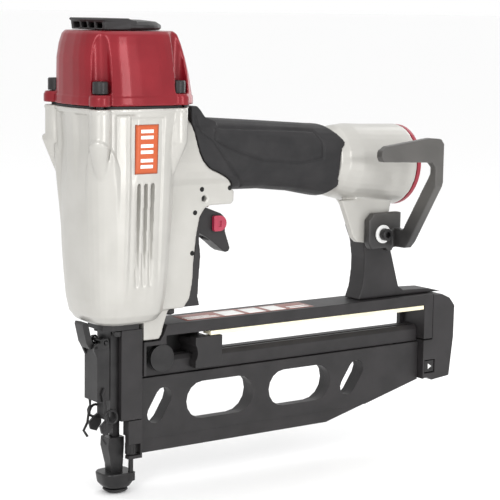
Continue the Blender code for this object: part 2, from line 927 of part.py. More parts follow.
foot = loft(
    "contact_foot",
    [
        level_ring(2.3, 0.4, 6.0, 6.4, 2.6, 28),
        level_ring(3.4, 0.4, 8.4, 8.0, 2.8, 28),
        level_ring(6.0, 0.2, 10.4, 9.2, 3.0, 28),
        level_ring(11.4, 0.0, 10.9, 9.6, 3.2, 28),
        level_ring(12.4, 0.0, 10.4, 9.1, 3.2, 28),
    ],
)
sleeve_arm = loft(
    "nose_sleeve",
    [
        [(-4.3, -3.7, 10.0), (3.4, -3.7, 10.0), (3.4, 3.7, 10.0), (-4.3, 3.7, 10.0)],
        [(-4.8, -3.9, 17.0), (3.6, -3.9, 17.0), (3.6, 3.9, 17.0), (-4.8, 3.9, 17.0)],
        [(-7.4, -4.9, 29.0), (3.9, -4.7, 29.0), (3.9, 4.7, 29.0), (-7.4, 4.9, 29.0)],
        [(-7.0, -4.9, 34.6), (3.9, -4.7, 34.6), (3.9, 4.7, 34.6), (-7.0, 4.9, 34.6)],
    ],
)
rod_lug = rod("rod_lug", (7.0, -7.6, 7.2), (7.0, -7.6, 12.4), 2.7, 16)
join(foot, sleeve_arm, rod_lug)
cut(
    foot,
    box("tip_way", (-3.1, 2.4), (-2.6, 2.6), (1.0, 40.0)),
    rod("rod_socket", (7.0, -7.6, 9.0), (7.0, -7.6, 14.0), 1.85, 14),
)
finish(foot, "black")
finish(rod("adjust_rod", (7.0, -7.6, 10.2), (7.0, -7.6, 44.8), 1.55, 14), "steel")
pad = loft(
    "foot_pad",
    [
        level_ring(0.0, 0.4, 6.0, 6.0, 2.6, 24),
        level_ring(0.9, 0.4, 7.4, 7.2, 2.7, 24),
        level_ring(1.95, 0.4, 7.0, 6.8, 2.7, 24),
    ],
)
cut(pad, box("pad_way", (-3.1, 2.4), (-2.6, 2.6), (-1.0, 4.0)))
finish(pad, "rubber")

wheel = tube_ring("depth_wheel", 1.95, 3.7, 24.0, 30.4, (7.0, -7.6, 0), steps=20)
for step in range(8):
    angle = 2 * math.pi * step / 8
    notch = rod(
        f"wheel_notch_{step}",
        (7.0 + 4.0 * math.cos(angle), -7.6 + 4.0 * math.sin(angle), 25.0),
        (7.0 + 4.0 * math.cos(angle), -7.6 + 4.0 * math.sin(angle), 29.4),
        0.8,
        8,
    )
    cut(wheel, notch)
finish(wheel, "brass")
cage = box("wheel_cage", (2.6, 12.3), (-12.2, -5.6), (21.6, 45.6))
cut(
    cage,
    box("cage_window", (0.0, 11.1), (-15.0, -3.0), (23.6, 30.8)),
    rod("cage_bore", (7.0, -7.6, 15.0), (7.0, -7.6, 50.0), 1.95, 14),
)
cut(cage, box("cage_relief", (0.0, 4.6), (-8.0, -3.0), (15.0, 36.0)))
finish(cage, "black")

# ---------------------------------------------------------------- magazine

beam = prism(
    "magazine_beam",
    (
        (12.9, 72.0),
        (12.9, 93.6),
        (24.4, 93.6),
        (27.0, 97.0),
        (29.4, 103.0),
        (34.0, BEAM_TOP),
        (246.6, BEAM_TOP),
        (246.6, 72.0),
    ),
    -BEAM_HALF,
    BEAM_HALF,
)
cut(
    beam,
    box("near_recess", (14.6, 239.0), (-20.0, 9.4), (60.0, 91.0)),
    box("beam_channel", (29.0, 239.0), (-20.0, 9.4), (90.0, RAIL_BOTTOM)),
    box("far_window", (68.0, 236.0), (5.0, 20.0), (76.4, RAIL_BOTTOM)),
    box("beam_bed", (0.0, 250.0), (-20.0, 7.6), (60.0, 72.4)),
    box("far_foot", (0.0, 250.0), (5.0, 20.0), (60.0, 73.0)),
)
finish(beam, "black")
finish(box("head_track", (62.0, 238.4), (-12.6, -4.0), (93.3, 95.9)), "cream")
rail = prism(
    "nail_rail",
    ((-5.6, 70.4), (-5.6, 78.6), (-3.4, 81.4), (7.2, 81.4), (7.2, 70.4)),
    15.0,
    238.6,
    plane="YZ",
)
cut(rail, box("rail_slot", (10.0, 235.0), (-1.1, 1.1), (73.0, 90.0)))
finish(rail, "dark_steel")

PLATE_HOLES = (
    slot_outline((59.6, 51.4), (87.4, 51.4), 11.9),
    slot_outline((123.4, 51.4), (150.2, 51.4), 11.9),
    slot_outline((24.8, 46.6), (31.0, 56.8), 6.0, 6),
    slot_outline((177.0, 46.0), (184.2, 56.8), 6.2, 6),
)
magazine_plate = prism(
    "magazine_plate",
    (
        (12.7, 22.8),
        (160.0, 23.2),
        (163.0, 23.9),
        (238.6, 43.6),
        (238.6, 69.9),
        (12.7, 69.9),
    ),
    -7.4,
    6.8,
)
for index, outline in enumerate(PLATE_HOLES):
    cut(magazine_plate, prism(f"plate_hole_{index}", outline, -9.0, 9.0))
BACK_POCKETS = (
    slot_outline((59.6, 51.4), (87.4, 51.4), 14.2),
    slot_outline((123.4, 51.4), (150.2, 51.4), 14.2),
    slot_outline((24.8, 46.6), (31.0, 56.8), 9.0, 6),
    slot_outline((177.0, 46.0), (184.2, 56.8), 9.0, 6),
)
for index, outline in enumerate(BACK_POCKETS):
    cut(magazine_plate, prism(f"back_pocket_{index}", outline, -1.4, 8.0))
cut(
    magazine_plate,
    box("lower_step", (10.0, 245.0), (-9.0, -6.6), (18.0, 31.6)),
    box("nail_room", (12.0, 236.0), (-1.1, 1.1), (66.8, 72.0)),
)
finish(magazine_plate, "black")

pusher = box("pusher", (51.0, 71.0), (-12.4, -6.1), (73.2, 92.6))
join(pusher, box("pusher_bridge", (51.0, 66.0), (-7.0, 6.8), (82.0, 91.2)))
join(pusher, box("pusher_blade", (51.0, 60.0), (-0.9, 0.9), (73.6, 83.0)))
cut(pusher, rod("spring_relief", (43.6, -20.0, 82.6), (43.6, 20.0, 82.6), 9.0, 32))
finish(pusher, "black")
drum = turned(
    "pusher_drum",
    ((3.0, -10.8), (8.6, -10.6), (8.6, -8.6), (7.2, -8.4), (7.2, -6.6), (8.4, -6.4), (8.4, -5.95)),
    (27.6, 0, 82.0),
    (0, 1, 0),
    24,
)
finish(drum, "black")

end_cap = prism(
    "magazine_end_cap",
    (
        (239.0, 44.2),
        (243.0, 45.2),
        (247.6, 42.8),
        (263.2, 44.4),
        (266.4, 72.0),
        (266.6, 93.8),
        (262.0, 99.4),
        (255.0, 102.6),
        (247.0, 103.2),
        (247.0, 71.6),
        (239.0, 71.6),
    ),
    -BEAM_HALF,
    BEAM_HALF,
)
cut(end_cap, box("latch_well", (240.3, 249.8), (-20.0, -6.4), (48.1, 57.3)))
finish(end_cap, "black")
finish(box("magazine_latch", (240.8, 249.3), (-12.3, -9.2), (48.6, 56.8)), "dark_steel")

# ---------------------------------------------------------------- rear post and belt hook

post = prism(
    "rear_post",
    (
        (184.4, 103.8),
        (187.6, 112.0),
        (189.0, 122.0),
        (189.2, 132.0),
        (187.6, 143.0),
        (183.6, 152.0),
        (182.4, 159.6),
        (189.4, 159.6),
        (189.6, 145.4),
        (191.0, 141.8),
        (194.0, 140.3),
        (204.8, 140.3),
        (212.0, 135.0),
        (219.4, 110.4),
        (224.0, 107.4),
        (246.0, 106.6),
        (258.0, 103.8),
    ),
    -7.5,
    7.5,
)
finish(post, "black")
HOOK_IN = 200.2
hook = prism(
    "belt_hook",
    (
        (-58.8, 210.0),
        (-58.8, 184.0),
        (-34.0, 144.6),
        (-30.0, 140.4),
        (-18.2, 139.8),
        (-13.3, 139.8),
        (-13.3, 160.0),
        (-18.2, 160.0),
        (-18.2, 152.0),
        (-27.4, 152.0),
        (-53.6, 192.4),
        (-53.6, 210.0),
    ),
    HOOK_IN + 3.8,
    HOOK_IN + 10.1,
    plane="YZ",
)
join(
    hook,
    prism(
        "hook_arm",
        (
            (160.2, 201.4),
            (200.6, 199.6),
            (203.8, 196.0),
            (203.8, 186.0),
            (210.6, 186.0),
            (210.6, 211.6),
            (208.0, 214.6),
            (199.0, 215.4),
            (163.4, 211.2),
            (159.2, 208.6),
            (158.4, 205.0),
        ),
        -59.0,
        -53.4,
    ),
    prism(
        "hook_plate",
        (
            (186.0, 139.2),
            (198.8, 139.35),
            (199.6, 137.2),
            (203.6, 137.2),
            (204.4, 139.5),
            (210.6, 139.8),
            (210.6, 163.0),
            (188.0, 163.0),
            (183.4, 158.6),
            (183.4, 143.0),
        ),
        -18.4,
        -13.0,
    ),
)
cut(hook, rod("hook_eye", (194.5, -30.0, 149.1), (194.5, 0.0, 149.1), 3.2, 20))
finish(hook, "grey")
finish(
    tube_ring("hook_washer", 3.2, 6.1, 18.75, 19.9, (194.5, 0, 149.1), (0, -1, 0), 24),
    "white",
)
hook_bolt = turned(
    "hook_bolt",
    ((2.7, 2.0), (2.7, 20.3), (4.0, 20.3), (4.0, 24.6), (3.6, 25.0)),
    (194.5, 0, 149.1),
    (0, -1, 0),
    20,
)
cut(hook_bolt, rod("hook_socket", (194.5, -30.0, 149.1), (194.5, -21.6, 149.1), 2.3, 6))
finish(hook_bolt, "dark_steel")
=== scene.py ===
"""Looks for the finish nailer: cast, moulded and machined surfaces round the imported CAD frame."""

import json
import math

import bmesh
import bpy
import numpy as np
from mathutils import Matrix, Vector
from mathutils.bvhtree import BVHTree

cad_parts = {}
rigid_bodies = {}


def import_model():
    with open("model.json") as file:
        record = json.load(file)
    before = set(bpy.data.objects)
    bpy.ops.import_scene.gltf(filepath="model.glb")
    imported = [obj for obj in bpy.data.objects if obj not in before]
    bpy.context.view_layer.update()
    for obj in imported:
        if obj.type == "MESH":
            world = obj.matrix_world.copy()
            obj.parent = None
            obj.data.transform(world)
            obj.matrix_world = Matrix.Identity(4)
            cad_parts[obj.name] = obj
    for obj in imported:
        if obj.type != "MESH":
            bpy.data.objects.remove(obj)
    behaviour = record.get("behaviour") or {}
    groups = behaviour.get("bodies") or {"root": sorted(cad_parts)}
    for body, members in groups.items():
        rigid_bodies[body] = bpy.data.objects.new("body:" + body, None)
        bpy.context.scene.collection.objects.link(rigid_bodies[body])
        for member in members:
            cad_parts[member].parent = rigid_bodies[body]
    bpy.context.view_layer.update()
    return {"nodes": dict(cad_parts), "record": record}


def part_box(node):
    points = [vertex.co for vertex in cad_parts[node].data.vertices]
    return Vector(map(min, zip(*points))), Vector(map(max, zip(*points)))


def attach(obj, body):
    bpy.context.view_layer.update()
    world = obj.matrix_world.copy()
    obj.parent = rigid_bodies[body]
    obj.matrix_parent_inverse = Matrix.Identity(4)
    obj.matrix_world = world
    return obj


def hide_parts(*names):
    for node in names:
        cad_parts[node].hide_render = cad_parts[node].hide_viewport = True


MM = 0.001

for obj in list(bpy.data.objects):
    bpy.data.objects.remove(obj)

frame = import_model()
NODES = frame["nodes"]

# ---------------------------------------------------------------- camera, light, floor

# Lengths on the stage are in metres, but the lens and the sensor are in mm.
CAMERA_AZIMUTH = math.radians(-35.60)
CAMERA_ELEVATION = math.radians(8.27)
CAMERA_ROLL = math.radians(0.91)
CAMERA_DISTANCE = 1.075
CAMERA_TARGET = Vector((0.1001, 0.0, 0.1427))
CAMERA_LENS = 120.9
CAMERA_SENSOR = 36.0

WORLD_STRENGTH = 1.0
FLOOR_HALF = 60.0
FLOOR_Z = -0.0008  # just under the foot, so that the two never share a plane
FLOOR_TONE = 0.97
FLOOR_ROUGHNESS = 0.7
# Name, place, target, width, height and power.
LIGHTS = (
    ("key_left", (-0.9, -0.9, 0.7), (0.0, 0.0, 0.16), 0.35, 0.9, 7.0),
    ("strip_front", (0.25, -1.2, 0.45), (0.05, 0.0, 0.16), 0.2, 0.9, 4.5),
    ("top", (0.1, 0.0, 1.3), (0.1, 0.0, 0.1), 1.2, 1.2, 3.0),
    ("rim_right", (1.1, 0.3, 0.5), (0.15, 0.0, 0.15), 0.5, 0.9, 2.5),
)


def add_camera():
    """Places the camera on its orbit, rolled a little about its own axis."""
    cos_e, sin_e = math.cos(CAMERA_ELEVATION), math.sin(CAMERA_ELEVATION)
    cos_a, sin_a = math.cos(CAMERA_AZIMUTH), math.sin(CAMERA_AZIMUTH)
    back = Vector((sin_a * cos_e, -cos_a * cos_e, sin_e))
    right = Vector((cos_a, sin_a, 0.0))
    up = back.cross(right)
    turned_right = math.cos(CAMERA_ROLL) * right + math.sin(CAMERA_ROLL) * up
    turned_up = -math.sin(CAMERA_ROLL) * right + math.cos(CAMERA_ROLL) * up
    axes = Matrix((turned_right, turned_up, back)).transposed().to_4x4()
    data = bpy.data.cameras.new("photo_camera")
    data.lens = CAMERA_LENS
    data.sensor_width = CAMERA_SENSOR
    camera = bpy.data.objects.new("photo_camera", data)
    bpy.context.scene.collection.objects.link(camera)
    camera.matrix_world = Matrix.Translation(CAMERA_TARGET + back * CAMERA_DISTANCE) @ axes
    bpy.context.scene.camera = camera


def add_area(name, place, target, width, height, power):
    """A soft rectangular light at a place, turned to a target."""
    data = bpy.data.lights.new(name, "AREA")
    data.shape = "RECTANGLE"
    data.size = width
    data.size_y = height
    data.energy = power
    light = bpy.data.objects.new(name, data)
    bpy.context.scene.collection.objects.link(light)
    direction = Vector(target) - Vector(place)
    light.rotation_euler = direction.to_track_quat("-Z", "Y").to_euler()
    light.location = place


def add_world():
    """An even white surround."""
    world = bpy.data.worlds.new("studio")
    world.use_nodes = True
    background = world.node_tree.nodes["Background"]
    background.inputs["Color"].default_value = (1.0, 1.0, 1.0, 1.0)
    background.inputs["Strength"].default_value = WORLD_STRENGTH
    bpy.context.scene.world = world


def add_floor():
    """A plain pale floor, far wider than the view."""
    bm = bmesh.new()
    bmesh.ops.create_grid(bm, x_segments=1, y_segments=1, size=FLOOR_HALF)
    mesh = bpy.data.meshes.new("studio_floor")
    bm.to_mesh(mesh)
    bm.free()
    floor = bpy.data.objects.new("studio_floor", mesh)
    bpy.context.scene.collection.objects.link(floor)
    floor.location.z = FLOOR_Z
    material = bpy.data.materials.new("studio_floor")
    material.use_nodes = True
    shader = material.node_tree.nodes["Principled BSDF"]
    shader.inputs["Base Color"].default_value = (FLOOR_TONE, FLOOR_TONE, FLOOR_TONE, 1.0)
    shader.inputs["Roughness"].default_value = FLOOR_ROUGHNESS
    mesh.materials.append(material)


add_camera()
add_world()
add_floor()
for light_row in LIGHTS:
    add_area(*light_row)
bpy.context.scene.view_settings.view_transform = "Standard"

# ---------------------------------------------------------------- materials

RAMP_FROM = 0.35
RAMP_TO = 0.65
SMUDGE_FINER = 2.3
COAT_ROUGHNESS = 0.12


def new_material(name):
    """(material, its node tree, its shader)."""
    material = bpy.data.materials.new(name)
    material.use_nodes = True
    shader = material.node_tree.nodes["Principled BSDF"]
    return material, material.node_tree, shader


def noise(tree, scale, detail, roughness=0.5):
    """Noise that stays with the piece as it moves."""
    coordinates = tree.nodes.new("ShaderNodeTexCoord")
    made = tree.nodes.new("ShaderNodeTexNoise")
    made.inputs["Scale"].default_value = scale
    made.inputs["Detail"].default_value = detail
    made.inputs["Roughness"].default_value = roughness
    tree.links.new(coordinates.outputs["Object"], made.inputs["Vector"])
    return made


def ramp(tree, source, low, high):
    """Maps a 0 to 1 value to a colour between low and high."""
    made = tree.nodes.new("ShaderNodeValToRGB")
    made.color_ramp.elements[0].position = RAMP_FROM
    made.color_ramp.elements[0].color = (*low, 1.0)
    made.color_ramp.elements[1].position = RAMP_TO
    made.color_ramp.elements[1].color = (*high, 1.0)
    tree.links.new(source, made.inputs["Fac"])
    return made


def spread(tree, source, low, high):
    """Maps a 0 to 1 value to a number between low and high."""
    made = tree.nodes.new("ShaderNodeMapRange")
    made.inputs["To Min"].default_value = low
    made.inputs["To Max"].default_value = high
    tree.links.new(source, made.inputs["Value"])
    return made.outputs["Result"]


def bump(tree, shader, source, strength, distance):
    """Feeds a fine relief into the shader's normal."""
    made = tree.nodes.new("ShaderNodeBump")
    made.inputs["Strength"].default_value = strength
    made.inputs["Distance"].default_value = distance
    tree.links.new(source, made.inputs["Height"])
    tree.links.new(made.outputs["Normal"], shader.inputs["Normal"])


def surface(
    name,
    dark,
    light,
    rough,
    metallic=0.0,
    tone_scale=60.0,
    grain_scale=900.0,
    grain=0.15,
    grain_depth=0.0001,
    coat=0.0,
    specular=0.5,
):
    """Paint, plastic or metal: slow colour drift, roughness drift and a fine grain."""
    material, tree, shader = new_material(name)
    tone = noise(tree, tone_scale, detail=4.0)
    colors = ramp(tree, tone.outputs["Fac"], dark, light)
    tree.links.new(colors.outputs["Color"], shader.inputs["Base Color"])
    smudge = noise(tree, tone_scale * SMUDGE_FINER, detail=5.0, roughness=0.6)
    rough_value = spread(tree, smudge.outputs["Fac"], rough[0], rough[1])
    tree.links.new(rough_value, shader.inputs["Roughness"])
    shader.inputs["Metallic"].default_value = metallic
    shader.inputs["Specular IOR Level"].default_value = specular
    shader.inputs["Coat Weight"].default_value = coat
    shader.inputs["Coat Roughness"].default_value = COAT_ROUGHNESS
    fine = noise(tree, grain_scale, detail=2.0)
    bump(tree, shader, fine.outputs["Fac"], grain, grain_depth)
    return material


SILVER = surface(
    "pearl_silver_paint", dark=(0.43, 0.42, 0.392), light=(0.465, 0.455, 0.427), rough=(0.32, 0.39),
    metallic=0.35, tone_scale=40.0, grain_scale=1800.0, grain=0.08, grain_depth=0.00005, coat=0.2,
)
RED = surface(
    "red_metallic_paint", dark=(0.185, 0.006, 0.012), light=(0.215, 0.008, 0.015), rough=(0.26, 0.34),
    metallic=0.25, tone_scale=50.0, grain_scale=1600.0, grain=0.08, grain_depth=0.00005, coat=0.15,
    specular=0.3,
)
BLACK_CAST = surface(
    "black_cast", dark=(0.014, 0.013, 0.0135), light=(0.021, 0.019, 0.020), rough=(0.42, 0.54),
    tone_scale=70.0, grain_scale=1300.0, grain=0.25, grain_depth=0.00008, specular=0.35,
)
BLACK_PLASTIC = surface(
    "black_plastic", dark=(0.015, 0.014, 0.0145), light=(0.022, 0.020, 0.021), rough=(0.38, 0.50),
    tone_scale=55.0, grain_scale=1000.0, grain=0.2, grain_depth=0.00008, specular=0.35,
)
RUBBER = surface(
    "grip_rubber", dark=(0.013, 0.0125, 0.0135), light=(0.020, 0.019, 0.020), rough=(0.50, 0.64),
    tone_scale=80.0, grain_scale=1400.0, grain=0.5, grain_depth=0.00015, specular=0.3,
)
BLACK_STEEL = surface(
    "black_steel", dark=(0.016, 0.0155, 0.016), light=(0.028, 0.027, 0.0275), rough=(0.32, 0.44),
    metallic=0.5, tone_scale=90.0, grain_scale=1500.0, grain_depth=0.00005,
)
STEEL = surface(
    "bright_steel", dark=(0.50, 0.50, 0.51), light=(0.62, 0.62, 0.63), rough=(0.22, 0.34), metallic=1.0,
    tone_scale=80.0, grain_scale=1500.0, grain=0.1, grain_depth=0.00004,
)
GREY = surface(
    "hook_grey", dark=(0.065, 0.062, 0.058), light=(0.082, 0.078, 0.073), rough=(0.36, 0.46),
    tone_scale=50.0, grain_scale=1200.0, grain_depth=0.00006,
)
CREAM = surface(
    "cream_track", dark=(0.80, 0.73, 0.52), light=(0.88, 0.82, 0.62), rough=(0.28, 0.38),
    tone_scale=40.0, grain=0.05, grain_depth=0.00005,
)
WHITE = surface(
    "white_washer", dark=(0.70, 0.70, 0.69), light=(0.78, 0.78, 0.77), rough=(0.30, 0.40), grain=0.05,
    grain_depth=0.00005,
)
SELECTOR_RED = surface(
    "selector_red", dark=(0.33, 0.018, 0.05), light=(0.38, 0.025, 0.06), rough=(0.22, 0.30), grain=0.05,
    grain_depth=0.00004, coat=0.3,
)
BRASS = surface(
    "brass", dark=(0.60, 0.44, 0.18), light=(0.70, 0.54, 0.26), rough=(0.24, 0.34), metallic=1.0,
    tone_scale=70.0, grain_scale=1200.0, grain=0.1, grain_depth=0.00004,
)
RING_RED = surface(
    "ring_red", dark=(0.26, 0.008, 0.025), light=(0.30, 0.012, 0.03), rough=(0.30, 0.40), grain=0.05,
    grain_depth=0.00004,
)

# Heights, in metres, between which the painted shade on the hook's foot fades into the arm's own grey.
HOOK_SHADE_LOW = 0.150
HOOK_SHADE_HIGH = 0.172
# The colour of the painted shade on the hook's foot.
HOOK_FOOT_PAINTED_SHADE = (0.020, 0.019, 0.019)


def paint_shade_on_hook_foot(material, dark):
    """Paints shade on the foot of the hook: full below the low height, fading out by the high height.
    """
    tree = material.node_tree
    shader = tree.nodes["Principled BSDF"]
    color = shader.inputs["Base Color"].links[0].from_socket
    coordinates = tree.nodes.new("ShaderNodeTexCoord")
    apart = tree.nodes.new("ShaderNodeSeparateXYZ")
    tree.links.new(coordinates.outputs["Object"], apart.inputs["Vector"])
    rise = tree.nodes.new("ShaderNodeMapRange")
    rise.inputs["From Min"].default_value = HOOK_SHADE_LOW
    rise.inputs["From Max"].default_value = HOOK_SHADE_HIGH
    tree.links.new(apart.outputs["Z"], rise.inputs["Value"])
    mix = tree.nodes.new("ShaderNodeMixRGB")
    mix.inputs["Color1"].default_value = (*dark, 1.0)
    tree.links.new(rise.outputs["Result"], mix.inputs["Fac"])
    tree.links.new(color, mix.inputs["Color2"])
    tree.links.new(mix.outputs["Color"], shader.inputs["Base Color"])


# Painted shade: the hook's grey is darkened towards its foot.
paint_shade_on_hook_foot(GREY, HOOK_FOOT_PAINTED_SHADE)

LOOKS = {
    "body_silver": SILVER,
    "cap_red": RED,
    "black_moulding": BLACK_PLASTIC,
    "black_cast": BLACK_CAST,
    "black_rubber": RUBBER,
    "black_steel": BLACK_STEEL,
    "bright_steel": STEEL,
    "hook_grey": GREY,
    "track_cream": CREAM,
    "washer_white": WHITE,
    "selector_red": SELECTOR_RED,
    "ring_red": RING_RED,
    "brass": BRASS,
}
SLOT_OF = {row["node"]: row["material_slot"] for row in frame["record"]["subparts"]}
BODY_OF = {
    name: body
    for body, names in frame["record"]["behaviour"]["bodies"].items()
    for name in names
}


def dress(obj, material):
    """Gives the piece one material."""
    obj.data.materials.clear()
    obj.data.materials.append(material)


# ---------------------------------------------------------------- softened castings

WELD_GAP = 1e-6
RELAX_FACTOR = 0.5
FLAT_ANGLE = math.radians(1.5)
EDGE_ANGLE = math.radians(35)
EDGE_SEGMENTS = 2


def apply_modifiers(obj):
    """Makes the evaluated mesh the object's own."""
    graph = bpy.context.evaluated_depsgraph_get()
    bpy.context.view_layer.update()
    mesh = bpy.data.meshes.new_from_object(obj.evaluated_get(graph))
    old = obj.data
    obj.modifiers.clear()
    obj.data = mesh
    bpy.data.meshes.remove(old)


def copy_node(name):
    """A free copy of a CAD node's mesh, ready to be worked."""
    mesh = NODES[name].data.copy()
    mesh.name = name + "_looks"
    obj = bpy.data.objects.new(name + "_looks", mesh)
    bpy.context.scene.collection.objects.link(obj)
    bm = bmesh.new()
    bm.from_mesh(mesh)
    bmesh.ops.remove_doubles(bm, verts=bm.verts, dist=WELD_GAP)
    bm.to_mesh(mesh)
    bm.free()
    return obj


def soften(name, voxel, rounds):
    """Remeshes a node finely and smooths it, so its edges and joints get cast fillets."""
    obj = copy_node(name)
    remesh = obj.modifiers.new("remesh", "REMESH")
    remesh.mode = "VOXEL"
    remesh.voxel_size = voxel * MM
    remesh.use_smooth_shade = True
    relax = obj.modifiers.new("relax", "SMOOTH")
    relax.factor = RELAX_FACTOR
    relax.iterations = rounds
    apply_modifiers(obj)
    obj.data.shade_smooth()
    return obj


def stand_for(obj, name):
    """Shows the worked copy in place of its CAD node, on the same body."""
    dress(obj, LOOKS[SLOT_OF[name]])
    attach(obj, BODY_OF[name])
    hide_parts(name)


def round_edges(obj, width):
    """Small rounded edges on a machined or moulded node, with its faces kept flat."""
    weld = obj.modifiers.new("weld", "WELD")
    weld.merge_threshold = WELD_GAP
    flat = obj.modifiers.new("flat", "DECIMATE")
    flat.decimate_type = "DISSOLVE"
    flat.angle_limit = FLAT_ANGLE
    bevel = obj.modifiers.new("edge", "BEVEL")
    bevel.width = width * MM
    bevel.segments = EDGE_SEGMENTS
    bevel.limit_method = "ANGLE"
    bevel.angle_limit = EDGE_ANGLE
    normals = obj.modifiers.new("normals", "WEIGHTED_NORMAL")
    normals.keep_sharp = False


DARK_PINS = ("trigger_pin", "door_pin", "latch_pin")
for name, obj in NODES.items():
    dress(obj, LOOKS[SLOT_OF[name]])
for name in DARK_PINS:
    dress(NODES[name], BLACK_STEEL)

# ---------------------------------------------------------------- cast relief

LEAST_LENGTH = 1e-6


def fade(value, start, end):
    """0 before start and 1 after end, easing between; start may be the larger one."""
    t = np.clip((value - start) / (end - start), 0.0, 1.0)
    return t * t * (3.0 - 2.0 * t)


def points_of(obj):
    """(places in mm, normals) of a mesh's vertices."""
    count = len(obj.data.vertices)
    places = np.empty(count * 3)
    normals = np.empty(count * 3)
    obj.data.vertices.foreach_get("co", places)
    obj.data.vertices.foreach_get("normal", normals)
    return places.reshape(-1, 3) / MM, normals.reshape(-1, 3)


def push_out(obj, places, directions, depth):
    """Moves each vertex by depth mm along its direction."""
    moved = (places + directions * depth[:, None]) * MM
    obj.data.vertices.foreach_set("co", moved.ravel())
    obj.data.update()


def away_from_axis(places):
    """The level direction from the barrel's axis to each place."""
    flat = places.copy()
    flat[:, 2] = 0.0
    return flat / np.maximum(np.linalg.norm(flat, axis=1), LEAST_LENGTH)[:, None]


def outer_skin(places, normals, out, radii, cosines):
    """1 on walls that face outwards past a radius, and 0 inside, so that bores keep their size."""
    facing = (normals * out).sum(axis=1)
    return fade(np.hypot(places[:, 0], places[:, 1]), *radii) * fade(facing, *cosines)


# In the pairs below an effect starts at the first number and is full at the second. They are in mm, and
# those named FACING are cosines.
BODY_RADII = (25.5, 26.3)
BODY_FACING = (0.25, 0.6)
BODY_REAR = (31.0, 27.0)
BODY_FOOT = (112.0, 118.0)
BODY_FRONT = (4.0, -2.0)
COLUMN_ANGLE = math.radians(45.0)
COLUMN_RADIUS = 34.0
HOLLOW_DEPTH = 2.2
HOLLOW_START = (7.2, 9.4)
HOLLOW_END = (23.0, 18.0)
HOLLOW_TOP = (234.2, 232.6)
HOLLOW_FOOT = (186.0, 218.0)
DOME_HEIGHT = 1.8
DOME_SIDES = (11.5, 8.5)
DOME_FOOT = (160.0, 205.0)
ARCH_TOP = 219.0
ARCH_DROP = 12.0
ARCH_HALF = 9.0
ARCH_EDGE = 0.7
PANEL_DEPTH = 0.9
PANEL_FRONT = (-8.8, -7.4)
PANEL_REAR = (14.9, 13.5)
PANEL_TOP = (232.4, 231.0)
PANEL_FOOT = (126.0, 150.0)
PANEL_SIDE = (18.0, 22.0)
CREASE_HEIGHT = 0.7
CREASE_X = -9.6
CREASE_WIDTH = 1.0
CREASE_TOP = (236.0, 230.0)
CREASE_FOOT = (118.0, 150.0)
LEDGE_HEIGHT = 0.5
LEDGE_TOP = (240.0, 238.0)
LEDGE_FOOT = (234.4, 235.4)


def relieve_body(obj):
    """The barrel's ledge, its hollows between the bolt columns, the arches and the label panel."""
    places, normals = points_of(obj)
    x, y, z = places.T
    out = away_from_axis(places)
    skin = outer_skin(places, normals, out, BODY_RADII, BODY_FACING)
    skin = skin * fade(x, *BODY_REAR) * fade(z, *BODY_FOOT)
    along = (np.arctan2(np.abs(y), -x) - COLUMN_ANGLE) * COLUMN_RADIUS
    off_column = np.abs(along)
    front = fade(x, *BODY_FRONT)
    side = fade(np.abs(y), *PANEL_SIDE)
    hollow = fade(off_column, *HOLLOW_START) * fade(off_column, *HOLLOW_END)
    hollow = hollow * fade(z, *HOLLOW_TOP) * fade(z, *HOLLOW_FOOT) * front
    arch = ARCH_TOP - ARCH_DROP * (along / ARCH_HALF) ** 2
    dome = fade(z, arch + ARCH_EDGE, arch - ARCH_EDGE)
    dome = dome * fade(off_column, *DOME_SIDES) * fade(z, *DOME_FOOT) * front
    panel = fade(x, *PANEL_FRONT) * fade(x, *PANEL_REAR)
    panel = panel * fade(z, *PANEL_TOP) * fade(z, *PANEL_FOOT) * side
    crease = np.exp(-(((x - CREASE_X) / CREASE_WIDTH) ** 2))
    crease = crease * fade(z, *CREASE_FOOT) * fade(z, *CREASE_TOP) * side
    ledge = fade(z, *LEDGE_FOOT) * fade(z, *LEDGE_TOP)
    raised = DOME_HEIGHT * dome + CREASE_HEIGHT * crease + LEDGE_HEIGHT * ledge
    sunk = HOLLOW_DEPTH * hollow + PANEL_DEPTH * panel
    push_out(obj, places, out, (raised - sunk) * skin)


CAP_RADII = (25.5, 27.0)
CAP_FACING = (0.2, 0.5)
CAP_FOOT = (244.4, 243.4)
CAP_FOOT_PROUD = 0.7


def relieve_cap(obj):
    """The cap's foot stands a little proud of its dome."""
    places, normals = points_of(obj)
    out = away_from_axis(places)
    skin = outer_skin(places, normals, out, CAP_RADII, CAP_FACING)
    push_out(obj, places, out, CAP_FOOT_PROUD * fade(places[:, 2], *CAP_FOOT) * skin)


COVER_DEEPER = 2.4
COVER_REAR = (48.0, 50.5)
COVER_TOP = (156.0, 142.0)
BACKWARDS = (1.0, 0.0, 0.0)


def relieve_cover(obj):
    """The cover behind the web is fuller than its core, so it shows past the web's edge."""
    places, _ = points_of(obj)
    depth = COVER_DEEPER * fade(places[:, 0], *COVER_REAR) * fade(places[:, 2], *COVER_TOP)
    push_out(obj, places, np.tile(BACKWARDS, (len(places), 1)), depth)


# Runs of (x, z) in mm along the lines moulded in the grip's sides.
GRIP_PANEL = (
    (62.0, 222.0),
    (65.4, 223.2),
    (94.0, 221.6),
    (125.4, 220.0),
    (138.3, 218.9),
    (143.3, 211.7),
    (142.8, 201.5),
    (126.0, 199.0),
    (96.0, 202.0),
    (79.0, 207.7),
    (68.5, 211.8),
    (60.5, 216.0),
    (62.0, 222.0),
)
GRIP_SEAM = ((48.3, 230.0), (51.3, 220.9), (58.0, 216.5), (66.0, 206.0), (74.0, 196.0), (84.0, 186.0))
GRIP_FACING = (0.25, 0.5)
GRIP_OUTWARD_FACING = (0.0, 0.3)
GROOVE_WIDTH = 0.8
GROOVE_DEPTH = 0.9


